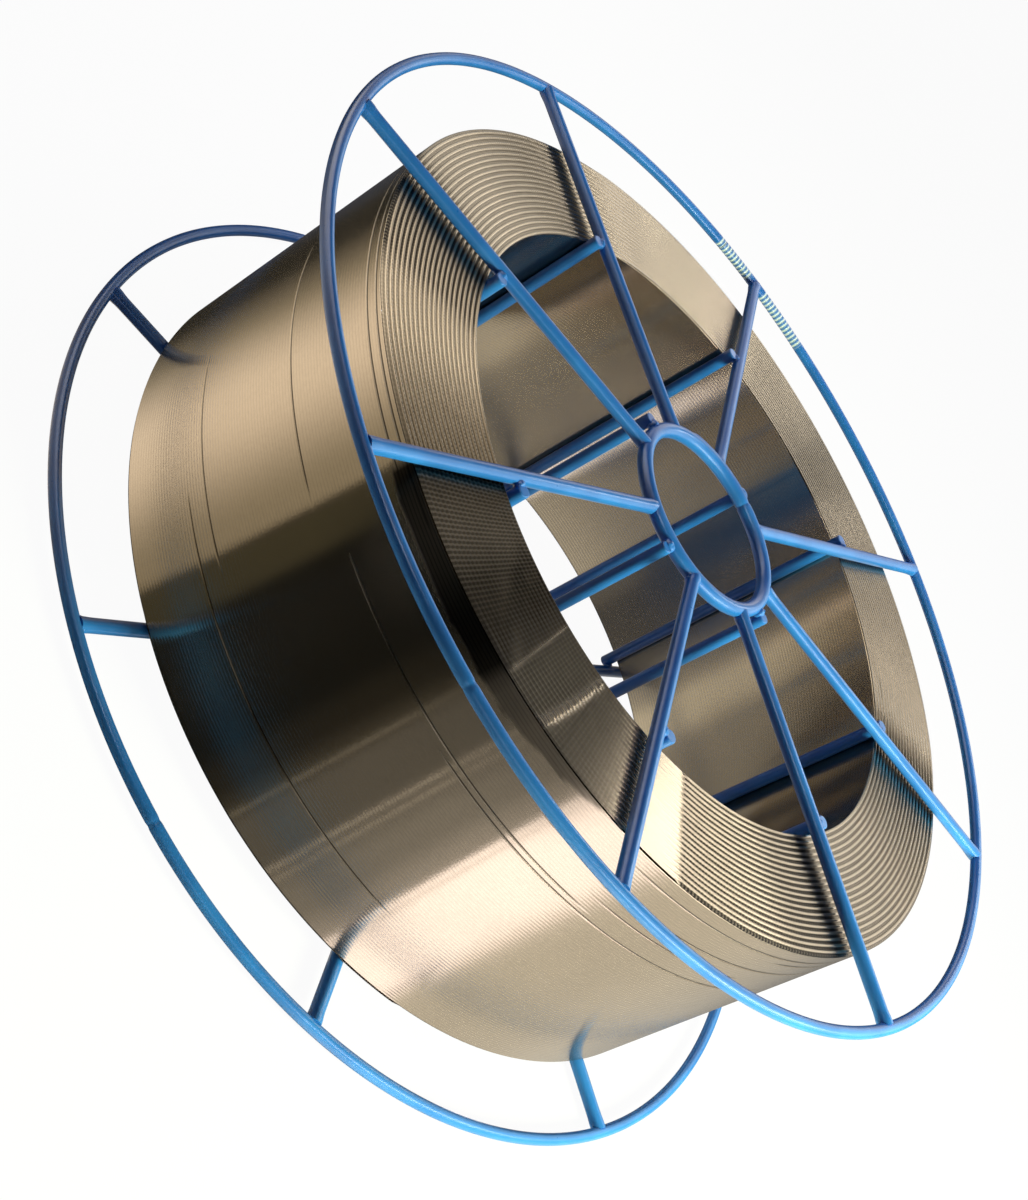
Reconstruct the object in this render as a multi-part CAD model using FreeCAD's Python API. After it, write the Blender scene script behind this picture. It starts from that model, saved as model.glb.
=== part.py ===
import FreeCAD, Part
import math
import os

# Welding wire basket spool, size BS 300, full of layer-wound 1.0 mm wire, standing on one end.
# Own frame: millimetres, +Z is the spool's axis and points up, Z = 0 is the floor under it.

# Driving sizes of the basket
OUTER_DIAMETER = 300.0
RIM_WIRE = 3.5
BORE_DIAMETER = 52.0
HUB_WIRE = 4.5
FLANGE_DISH = 1.25
SPOKE_COUNT = 8
SPOKE_WIRE = 4.0
FIRST_SPOKE_ANGLE = 22.5
BARREL_BAR_WIRE = 4.0
BARREL_BAR_OVERHANG = 0.25
HUB_BAR_COUNT = 4
HUB_BAR_WIRE = 3.8
HUB_BAR_OVERHANG = 0.75
FIRST_HUB_BAR_ANGLE = 45.0
WIRE_SIDES = 8
WELD_CLEARANCE = 0.05
END_CLEARANCE = 0.1

# Driving sizes of the coil
COIL_BORE = 187.0
WINDING_DEPTH = 34.0
COIL_WIDTH = 92.0
END_RIDGES = 6
RIDGE_HEIGHT = 0.6

# Sizes that follow from them
coil_diameter = COIL_BORE + 2 * WINDING_DEPTH
rim_plane_spacing = COIL_WIDTH + SPOKE_WIRE + 2 * END_CLEARANCE
hub_plane_spacing = rim_plane_spacing + 2 * FLANGE_DISH
middle_height = (hub_plane_spacing + HUB_WIRE) / 2
rim_radius = (OUTER_DIAMETER - RIM_WIRE) / 2
hub_radius = (BORE_DIAMETER + HUB_WIRE) / 2
barrel_radius = (COIL_BORE - BARREL_BAR_WIRE) / 2 - WELD_CLEARANCE
hub_bar_radius = hub_radius + (HUB_WIRE + HUB_BAR_WIRE) / 2 + WELD_CLEARANCE
barrel_bar_length = hub_plane_spacing + 2 * BARREL_BAR_OVERHANG
hub_bar_length = hub_plane_spacing + 2 * HUB_BAR_OVERHANG
spoke_pitch = 360.0 / SPOKE_COUNT
barrel_bar_offset = math.degrees(math.asin(
    ((SPOKE_WIRE + BARREL_BAR_WIRE) / 2 + WELD_CLEARANCE) / barrel_radius))

UP = FreeCAD.Vector(0, 0, 1)
CENTRE = FreeCAD.Vector(0, 0, 0)


def polar(radius, angle, height):
    """Point at a radius, an angle in degrees and a height."""
    turn = math.radians(angle)
    return FreeCAD.Vector(radius * math.cos(turn), radius * math.sin(turn), height)


def wire_section(centre, across, along, diameter):
    """Cross-section of a wire, its flats one diameter apart, with one flat facing along."""
    corner_radius = diameter / 2 / math.cos(math.pi / WIRE_SIDES)
    corners = []
    for index in range(WIRE_SIDES):
        turn = 2 * math.pi * (index + 0.5) / WIRE_SIDES
        corners.append(centre + along * (corner_radius * math.cos(turn))
                       + across * (corner_radius * math.sin(turn)))
    return Part.Face(Part.makePolygon(corners + corners[:1]))


def ring(radius, height, diameter):
    """Wire bent into a ring round the axis and butt-welded."""
    section = wire_section(FreeCAD.Vector(radius, 0, height), UP,
                           FreeCAD.Vector(1, 0, 0), diameter)
    return section.revolve(CENTRE, UP, 360)


def straight(start, end, facing, diameter):
    """Straight wire between two points with one flat facing a direction square to it."""
    span = end - start
    across = FreeCAD.Vector(span).normalize().cross(facing)
    return wire_section(start, across, facing, diameter).extrude(span)


def flange(side):
    """Rim ring, hub ring and spokes of one end, welded into one frame."""
    rim_height = middle_height + side * rim_plane_spacing / 2
    hub_height = middle_height + side * hub_plane_spacing / 2
    spokes = []
    for index in range(SPOKE_COUNT):
        angle = FIRST_SPOKE_ANGLE + index * spoke_pitch
        tangent = polar(1, angle + 90, 0)
        spokes.append(straight(polar(hub_radius, angle, hub_height),
                               polar(rim_radius, angle, rim_height), tangent, SPOKE_WIRE))
    rim = ring(rim_radius, rim_height, RIM_WIRE)
    return rim.fuse([ring(hub_radius, hub_height, HUB_WIRE)] + spokes)


def upright(radius, angle, length, diameter):
    """Bar parallel to the axis, centred on the middle of the width."""
    return straight(polar(radius, angle, middle_height - length / 2),
                    polar(radius, angle, middle_height + length / 2),
                    polar(1, angle, 0), diameter)


def coil():
    """Turned winding whose layers stand up as ridges on both ends."""
    inner, outer = COIL_BORE / 2, coil_diameter / 2
    pitch = (outer - inner) / END_RIDGES
    crest, valley = COIL_WIDTH / 2, COIL_WIDTH / 2 - RIDGE_HEIGHT
    profile = [(inner, valley)]
    for index in range(END_RIDGES):
        profile.append((inner + (index + 0.5) * pitch, crest))
        profile.append((inner + (index + 1) * pitch, valley))
    front = [FreeCAD.Vector(radius, 0, middle_height + rise) for radius, rise in profile]
    rear = [FreeCAD.Vector(radius, 0, middle_height - rise) for radius, rise in reversed(profile)]
    section = Part.Face(Part.makePolygon(front + rear + front[:1]))
    return section.revolve(CENTRE, UP, 360)


pieces = {
    "front_flange": flange(1),
    "rear_flange": flange(-1),
    "wire_coil": coil(),
}
for index in range(SPOKE_COUNT):
    angle = FIRST_SPOKE_ANGLE + index * spoke_pitch + barrel_bar_offset
    pieces[f"barrel_bar_{index + 1}"] = upright(
        barrel_radius, angle, barrel_bar_length, BARREL_BAR_WIRE)
for index in range(HUB_BAR_COUNT):
    angle = FIRST_HUB_BAR_ANGLE + index * 360.0 / HUB_BAR_COUNT
    pieces[f"hub_bar_{index + 1}"] = upright(
        hub_bar_radius, angle, hub_bar_length, HUB_BAR_WIRE)

os.makedirs("parts", exist_ok=True)
for node, shape in pieces.items():
    shape.exportStep(f"parts/{node}.step")
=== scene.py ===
import logging
import math
from dataclasses import dataclass
from enum import Enum
from typing import Mapping, Optional, Sequence, Union

import bpy
import numpy as np
from mathutils import Matrix, Vector, noise


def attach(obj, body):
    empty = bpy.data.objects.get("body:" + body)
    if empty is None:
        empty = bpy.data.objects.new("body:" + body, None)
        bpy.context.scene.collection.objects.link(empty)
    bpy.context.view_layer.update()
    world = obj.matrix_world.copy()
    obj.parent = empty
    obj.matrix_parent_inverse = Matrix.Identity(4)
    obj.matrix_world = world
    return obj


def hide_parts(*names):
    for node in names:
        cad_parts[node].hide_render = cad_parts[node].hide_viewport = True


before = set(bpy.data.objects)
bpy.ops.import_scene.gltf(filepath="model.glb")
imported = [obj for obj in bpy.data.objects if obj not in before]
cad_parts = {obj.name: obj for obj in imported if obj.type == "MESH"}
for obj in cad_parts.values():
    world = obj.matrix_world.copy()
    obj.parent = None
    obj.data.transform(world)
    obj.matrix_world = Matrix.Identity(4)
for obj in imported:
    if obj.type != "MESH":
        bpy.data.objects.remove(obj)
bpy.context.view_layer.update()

log = logging.getLogger("wire_spool")

MM = 0.001
Colour = tuple[float, float, float]
Span = tuple[float, float]
Number = Union[float, "Signal"]


# Sizes of the spool

class End(Enum):
    """One of the spool's two ends, with its sign along the axis."""

    FRONT = 1
    REAR = -1

    @property
    def node(self) -> str:
        """Name of the flange node at this end."""
        return f"{self.name.lower()}_flange"


@dataclass(frozen=True)
class SpoolSize:
    """Sizes of the basket spool and its coil, in millimetres, as the solids have them."""

    outer_diameter: float = 300.0
    rim_wire: float = 3.5
    bore_diameter: float = 52.0
    hub_wire: float = 4.5
    flange_dish: float = 1.25
    spoke_count: int = 8
    spoke_wire: float = 4.0
    first_spoke_angle: float = 22.5
    barrel_bar_wire: float = 4.0
    barrel_bar_overhang: float = 0.25
    hub_bar_count: int = 4
    hub_bar_wire: float = 3.8
    hub_bar_overhang: float = 0.75
    first_hub_bar_angle: float = 45.0
    weld_clearance: float = 0.05
    end_clearance: float = 0.1
    coil_bore: float = 187.0
    winding_depth: float = 34.0
    coil_width: float = 92.0

    @property
    def coil_diameter(self) -> float:
        """Outside diameter of the coil."""
        return self.coil_bore + 2 * self.winding_depth

    @property
    def rim_plane_spacing(self) -> float:
        """Distance between the middles of the two rim wires."""
        return self.coil_width + self.spoke_wire + 2 * self.end_clearance

    @property
    def hub_plane_spacing(self) -> float:
        """Distance between the middles of the two hub wires."""
        return self.rim_plane_spacing + 2 * self.flange_dish

    @property
    def middle(self) -> float:
        """Height of the middle of the spool's width above the floor."""
        return (self.hub_plane_spacing + self.hub_wire) / 2

    @property
    def rim_radius(self) -> float:
        """Radius of the rim wire's centreline."""
        return (self.outer_diameter - self.rim_wire) / 2

    @property
    def hub_radius(self) -> float:
        """Radius of the hub wire's centreline."""
        return (self.bore_diameter + self.hub_wire) / 2

    @property
    def barrel_radius(self) -> float:
        """Radius on which the barrel bars stand."""
        return (self.coil_bore - self.barrel_bar_wire) / 2 - self.weld_clearance

    @property
    def hub_bar_radius(self) -> float:
        """Radius on which the hub bars stand."""
        return self.hub_radius + (self.hub_wire + self.hub_bar_wire) / 2 + self.weld_clearance

    @property
    def barrel_bar_length(self) -> float:
        """Length of a barrel bar."""
        return self.hub_plane_spacing + 2 * self.barrel_bar_overhang

    @property
    def hub_bar_length(self) -> float:
        """Length of a hub bar."""
        return self.hub_plane_spacing + 2 * self.hub_bar_overhang

    @property
    def barrel_bar_lead(self) -> float:
        """Angle in degrees by which a barrel bar stands beside its spoke."""
        offset = (self.spoke_wire + self.barrel_bar_wire) / 2 + self.weld_clearance
        return math.degrees(math.asin(offset / self.barrel_radius))

    def spoke_angle(self, index: int) -> float:
        """Angle of a spoke in degrees."""
        return self.first_spoke_angle + index * 360 / self.spoke_count

    def hub_bar_angle(self, index: int) -> float:
        """Angle of a hub bar in degrees."""
        return self.first_hub_bar_angle + index * 360 / self.hub_bar_count

    def rim_height(self, end: End) -> float:
        """Height of a rim wire's centreline."""
        return self.middle + end.value * self.rim_plane_spacing / 2

    def hub_height(self, end: End) -> float:
        """Height of a hub wire's centreline."""
        return self.middle + end.value * self.hub_plane_spacing / 2


def polar(radius: float, angle: float, height: float) -> np.ndarray:
    """Point on the spool in millimetres.

    Args:
        radius: distance from the axis.
        angle: degrees round the axis from +X.
        height: distance above the floor.

    Returns:
        The point as an array of three numbers.
    """
    turn = math.radians(angle)
    return np.array([radius * math.cos(turn), radius * math.sin(turn), height])


def short_way(angles: np.ndarray, centre: Union[float, np.ndarray]) -> np.ndarray:
    """Degrees from a centre to each angle, the short way round."""
    return (angles - centre + 180) % 360 - 180


def hill(distance: np.ndarray, width: float) -> np.ndarray:
    """Smooth hill, 1 at no distance and gone two widths away."""
    return np.exp(-(distance / width) ** 2)


def ramp(distance: np.ndarray, width: float) -> np.ndarray:
    """Straight rise from 0 at no distance to 1 at a width."""
    return np.clip(distance / width, 0, 1)


def band(values: np.ndarray, span: Span, soft: float) -> np.ndarray:
    """1 within a span and 0 outside it, with soft edges that lie inside it."""
    return ramp(np.minimum(values - span[0], span[1] - values), soft)


def wander(points: np.ndarray, pace: float) -> np.ndarray:
    """Slow, uneven drift along a row of points.

    Args:
        points: places in millimetres.
        pace: how many features there are in a millimetre.

    Returns:
        One number from -1 to 1 for each point.
    """
    return np.array([noise.noise(Vector(point * pace)) for point in points])


def grid_faces(rows: int, columns: int, close_rows: bool = False,
               close_columns: bool = False) -> np.ndarray:
    """Quads of a grid whose points are counted row by row.

    Args:
        rows: how many rows it has.
        columns: how many points a row has.
        close_rows: join the last row to the first.
        close_columns: join the last column to the first.

    Returns:
        Rows of four point numbers.
    """
    index = np.arange(rows * columns).reshape(rows, columns)
    if close_rows:
        index = np.vstack([index, index[:1]])
    if close_columns:
        index = np.hstack([index, index[:, :1]])
    quads = np.stack([index[:-1, :-1], index[:-1, 1:], index[1:, 1:], index[1:, :-1]], -1)
    return quads.reshape(-1, 4)


def add_object(name: str, data: bpy.types.ID) -> bpy.types.Object:
    """Add an object to the scene's own collection.

    Args:
        name: its name.
        data: its mesh, lamp or camera data.

    Returns:
        The new object.
    """
    made = bpy.data.objects.new(name, data)
    bpy.context.scene.collection.objects.link(made)
    return made


# Shader expressions

class Signal:
    """Number at a shader socket; arithmetic on it adds Math nodes."""

    def __init__(self, board: "ShaderBoard", socket: bpy.types.NodeSocket) -> None:
        """Wrap a socket of a board."""
        self.board = board
        self.socket = socket

    def _math(self, operation: str, *values: Number) -> "Signal":
        """Result of one Math node."""
        node = self.board.node("ShaderNodeMath", {"operation": operation},
                               dict(enumerate(values)))
        return Signal(self.board, node.outputs[0])

    def __add__(self, other: Number) -> "Signal":
        """Sum."""
        return self._math("ADD", self, other)

    def __radd__(self, other: Number) -> "Signal":
        """Sum with a number on the left."""
        return self._math("ADD", other, self)

    def __sub__(self, other: Number) -> "Signal":
        """Difference."""
        return self._math("SUBTRACT", self, other)

    def __rsub__(self, other: Number) -> "Signal":
        """Difference from a number on the left."""
        return self._math("SUBTRACT", other, self)

    def __mul__(self, other: Number) -> "Signal":
        """Product."""
        return self._math("MULTIPLY", self, other)

    def __rmul__(self, other: Number) -> "Signal":
        """Product with a number on the left."""
        return self._math("MULTIPLY", other, self)

    def __truediv__(self, other: Number) -> "Signal":
        """Quotient."""
        return self._math("DIVIDE", self, other)

    def at_least(self, floor: Number) -> "Signal":
        """The larger of this and a floor."""
        return self._math("MAXIMUM", self, floor)

    def sine(self) -> "Signal":
        """Sine of an angle in radians."""
        return self._math("SINE", self)

    def root(self) -> "Signal":
        """Square root."""
        return self._math("SQRT", self)

    def angle_to(self, across: "Signal") -> "Signal":
        """Angle whose tangent is this over another signal."""
        return self._math("ARCTAN2", self, across)

    def step(self, low: float, high: float) -> "Signal":
        """Smooth rise from 0 to 1 between two values."""
        node = self.board.node("ShaderNodeMapRange", {"interpolation_type": "SMOOTHSTEP"},
                               {"Value": self, "From Min": low, "From Max": high})
        return Signal(self.board, node.outputs[0])


class ShaderBoard:
    """Node tree of one material or world."""

    def __init__(self, tree: bpy.types.NodeTree) -> None:
        """Start from an empty tree."""
        self.tree = tree
        tree.nodes.clear()

    def node(self, kind: str, settings: Optional[Mapping[str, object]] = None,
             values: Optional[Mapping[Union[str, int], object]] = None) -> bpy.types.Node:
        """Add one node.

        Args:
            kind: the node's type name.
            settings: properties, set first.
            values: what goes into each input, a plain value, a socket or a Signal.

        Returns:
            The new node.
        """
        node = self.tree.nodes.new(kind)
        for name, setting in (settings or {}).items():
            setattr(node, name, setting)
        for key, value in (values or {}).items():
            target = node.inputs[key]
            if isinstance(value, Signal):
                self.tree.links.new(value.socket, target)
            elif isinstance(value, bpy.types.NodeSocket):
                self.tree.links.new(value, target)
            else:
                target.default_value = value
        return node

    def place(self) -> tuple[Signal, Signal, Signal]:
        """Read the object coordinates.

        Returns:
            Three signals, in metres.
        """
        coordinates = self.node("ShaderNodeTexCoord").outputs["Object"]
        split = self.node("ShaderNodeSeparateXYZ", {}, {0: coordinates})
        return tuple(Signal(self, output) for output in split.outputs)

    def painted(self, name: str) -> Signal:
        """Value that the mesh carries at its points under this name."""
        node = self.node("ShaderNodeAttribute", {"attribute_name": name})
        return Signal(self, node.outputs["Fac"])

    def seen(self) -> Signal:
        """Tell the rays that look at the studio from those that light it.

        Returns:
            1 for camera, mirror and glass rays and 0 for the rest.
        """
        path = self.node("ShaderNodeLightPath")
        camera, mirror, glass = (Signal(self, path.outputs[f"Is {kind} Ray"])
                                 for kind in ("Camera", "Glossy", "Transmission"))
        return camera + mirror + glass

    def vector(self, x: Number, y: Number, z: Number) -> bpy.types.NodeSocket:
        """Vector from three numbers."""
        return self.node("ShaderNodeCombineXYZ", {}, {0: x, 1: y, 2: z}).outputs[0]

    def noise(self, vector: bpy.types.NodeSocket, scale: float, detail: float = 3.0,
              roughness: float = 0.5) -> Signal:
        """Fractal noise from 0 to 1.

        Args:
            vector: where the noise is read.
            scale: how many features there are in a unit.
            detail: octaves.
            roughness: weight of the finer octaves.

        Returns:
            The noise.
        """
        node = self.node("ShaderNodeTexNoise", {}, {
            "Vector": vector, "Scale": scale, "Detail": detail, "Roughness": roughness})
        return Signal(self, node.outputs[0])

    def blend(self, factor: Number, low: object, high: object) -> bpy.types.NodeSocket:
        """Mix two colours.

        Args:
            factor: share of the second colour.
            low: first colour, plain or linked.
            high: second colour, plain or linked.

        Returns:
            The mixed colour's socket.
        """
        first, second = [(*side, 1.0) if isinstance(side, tuple) else side
                         for side in (low, high)]
        node = self.node("ShaderNodeMix", {"data_type": "RGBA"},
                         {0: factor, 6: first, 7: second})
        return node.outputs[2]

    def bump(self, height: Signal, distance: float, strength: float) -> bpy.types.NodeSocket:
        """Normal bent by a height.

        Args:
            height: relief from 0 to 1.
            distance: how deep the relief is, in metres.
            strength: how much of it acts.

        Returns:
            The bent normal's socket.
        """
        values = {"Height": height, "Distance": distance, "Strength": strength}
        return self.node("ShaderNodeBump", {}, values).outputs[0]

    def close(self, shader: bpy.types.Node, output: str = "ShaderNodeOutputMaterial") -> None:
        """Close the tree with an output that takes this shader."""
        self.node(output, {}, {"Surface": shader.outputs[0]})

    def finish(self, values: Mapping[str, object]) -> None:
        """Close the tree with a Principled shader that takes these values."""
        self.close(self.node("ShaderNodeBsdfPrincipled", {}, values))


def material(name: str) -> tuple[bpy.types.Material, ShaderBoard]:
    """Start a material.

    Args:
        name: its name.

    Returns:
        The material and its empty board.
    """
    made = bpy.data.materials.new(name)
    made.use_nodes = True
    return made, ShaderBoard(made.node_tree)


# Finishes

@dataclass(frozen=True)
class PowderCoat:
    """Glossy blue powder coating over welded steel wire."""

    name: str = "blue_powder_coat"
    body: Colour = (0.014, 0.115, 0.43)
    thin: Colour = (0.02, 0.15, 0.52)
    worn: Colour = (0.72, 0.79, 0.82)
    roughness: float = 0.25
    peel_roughness: float = 0.1
    cloud_scale: float = 60.0
    cloud_edges: Span = (0.35, 0.7)
    peel_scale: float = 900.0
    peel_relief: float = 0.8
    nib_scale: float = 2600.0
    nib_edges: Span = (0.66, 0.78)
    nib_relief: float = 0.35
    relief_depth: float = 0.00007
    relief_strength: float = 0.55
    gloss: float = 0.2
    gloss_roughness: float = 0.15

    def make(self) -> bpy.types.Material:
        """Coating with orange peel, thinner and thicker places and fine dust nibs.

        Returns:
            The material.
        """
        made, board = material(self.name)
        at = board.vector(*board.place())
        cloud = board.noise(at, self.cloud_scale, detail=2.0)
        peel = board.noise(at, self.peel_scale, detail=2.0, roughness=0.4)
        nibs = board.noise(at, self.nib_scale, detail=1.0).step(*self.nib_edges)
        colour = board.blend(cloud.step(*self.cloud_edges), self.body, self.thin)
        colour = board.blend(board.painted("wear"), colour, self.worn)
        relief = board.bump(peel * self.peel_relief + nibs * self.nib_relief,
                            self.relief_depth, self.relief_strength)
        board.finish({"Base Color": colour,
                      "Roughness": self.roughness + self.peel_roughness * peel,
                      "Normal": relief,
                      "Specular IOR Level": 0.5,
                      "Coat Weight": self.gloss,
                      "Coat Roughness": self.gloss_roughness,
                      "IOR": 1.5})
        return made


@dataclass(frozen=True)
class BrightWire:
    """Drawn welding wire, warm grey, wound tight so that it reads as a satin metal."""

    name: str = "bright_wire"
    body: Colour = (0.56, 0.47, 0.35)
    oxide: Colour = (0.46, 0.385, 0.285)
    # painted shade: dark colour laid on the marked recesses between turns and over the shaded
    # side of the coil
    groove_shade: Colour = (0.02, 0.017, 0.013)
    roughness: float = 0.14
    patch_roughness: float = 0.05
    groove_roughness: float = 0.3
    streak_scale: float = 900.0
    streak_squeeze: float = 0.09
    streak_slant: float = 1.7
    streak_edges: Span = (0.35, 0.8)
    streak_oxide: float = 0.35
    streak_relief: float = 0.4
    patch_scale: float = 22.0
    patch_edges: Span = (0.3, 0.75)
    patch_oxide: float = 0.4
    grain_scale: float = 1500.0
    grain_relief: float = 0.6
    relief_depth: float = 0.00001
    relief_strength: float = 0.8
    beaded: bool = False
    bead_length: float = 0.00118
    bead_radius: float = 0.111
    bead_twist: float = 420.0
    bead_edges: Span = (-0.8, 0.3)
    bead_share: float = 0.25

    def make(self) -> bpy.types.Material:
        """Drawing lines along the turns, oily patches, painted shade in the grooves and beading
        on the ends.

        Returns:
            The material.
        """
        made, board = material(self.name)
        x, y, z = board.place()
        at = board.vector(x, y, z)
        radius = (x * x + y * y).root()
        along = board.vector(x / radius * self.streak_squeeze, y / radius * self.streak_squeeze,
                             radius + z * self.streak_slant)
        streak = board.noise(along, self.streak_scale, roughness=0.6)
        patch = board.noise(at, self.patch_scale, roughness=0.6)
        grain = board.noise(at, self.grain_scale, detail=2.0, roughness=0.6)
        relief = board.bump(streak * self.streak_relief + grain * self.grain_relief,
                            self.relief_depth, self.relief_strength)
        shade = (patch.step(*self.patch_edges) * self.patch_oxide
                 + streak.step(*self.streak_edges) * self.streak_oxide)
        # the mesh's marks paint shade in the recesses between turns and over one side of the
        # coil; on the ridged ends the beads break this painted shade into dark dots
        dark = board.painted("groove_shade")
        if self.beaded:
            turns = y.angle_to(x) * (2 * math.pi * self.bead_radius / self.bead_length)
            bead = (turns + radius * self.bead_twist).sine().step(*self.bead_edges)
            dark = dark * ((1 - self.bead_share) + self.bead_share * bead)
        colour = board.blend(shade, self.body, self.oxide)
        board.finish({"Base Color": board.blend(dark, colour, self.groove_shade),
                      "Roughness": (self.roughness + self.patch_roughness * patch
                                    + dark * self.groove_roughness),
                      "Normal": relief,
                      "Metallic": 1.0,
                      "Anisotropic": 1.0,
                      "Anisotropic Rotation": 0.25})
        return made


@dataclass(frozen=True)
class FloorFinish:
    """Pale studio floor that looks white to the camera and keeps the spool's shadow."""

    name: str = "studio_floor"
    body: Colour = (0.9, 0.9, 0.9)
    glow: float = 0.955

    def make(self) -> bpy.types.Material:
        """Matt white, most of it shown as plain white to camera, mirror and glass rays.

        Returns:
            The material.
        """
        made, board = material(self.name)
        matt = board.node("ShaderNodeBsdfDiffuse", {}, {"Color": (*self.body, 1.0)})
        white = board.node("ShaderNodeEmission", {}, {"Color": (1.0, 1.0, 1.0, 1.0)})
        board.close(board.node("ShaderNodeMixShader", {}, {
            0: board.seen() * self.glow, 1: matt.outputs[0], 2: white.outputs[0]}))
        return made


@dataclass(frozen=True)
class Board:
    """Upright board round the spool, between two azimuths in degrees and two heights in metres.

    Its edges are soft, and it may lean, so that its far edge moves on with the height.
    """

    start: float
    stop: float
    colour: Colour
    soft_start: float
    soft_stop: float
    lean: float = 0.0
    low: float = -2.0
    high: float = 2.0
    soft_height: float = 0.08


@dataclass(frozen=True)
class DrumFinish:
    """Inside of a reflector drum, on which each board glows in its own colour."""

    name: str
    facing: float
    boards: Sequence[Board]
    narrow: float
    flare: float
    flare_top: float = 0.06
    wall: Colour = (0.05, 0.055, 0.07)

    def make(self) -> bpy.types.Material:
        """Boards laid over each other in their order, wider low down, as emission.

        Returns:
            The material.
        """
        made, board = material(self.name)
        x, y, z = board.place()
        below = (self.flare_top - z).at_least(0.0)
        flare = self.narrow + self.flare * below * below
        azimuth = y.angle_to(x) * (180 / math.pi) / flare + self.facing
        colour = self.wall
        for panel in self.boards:
            before = azimuth - z * panel.lean
            shown = (azimuth.step(panel.start, panel.start + panel.soft_start)
                     * (1 - before.step(panel.stop - panel.soft_stop, panel.stop))
                     * z.step(panel.low, panel.low + panel.soft_height)
                     * (1 - z.step(panel.high - panel.soft_height, panel.high)))
            colour = board.blend(shown, colour, panel.colour)
        board.close(board.node("ShaderNodeEmission", {}, {"Color": colour, "Strength": 1.0}))
        return made


# Meshes

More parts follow.
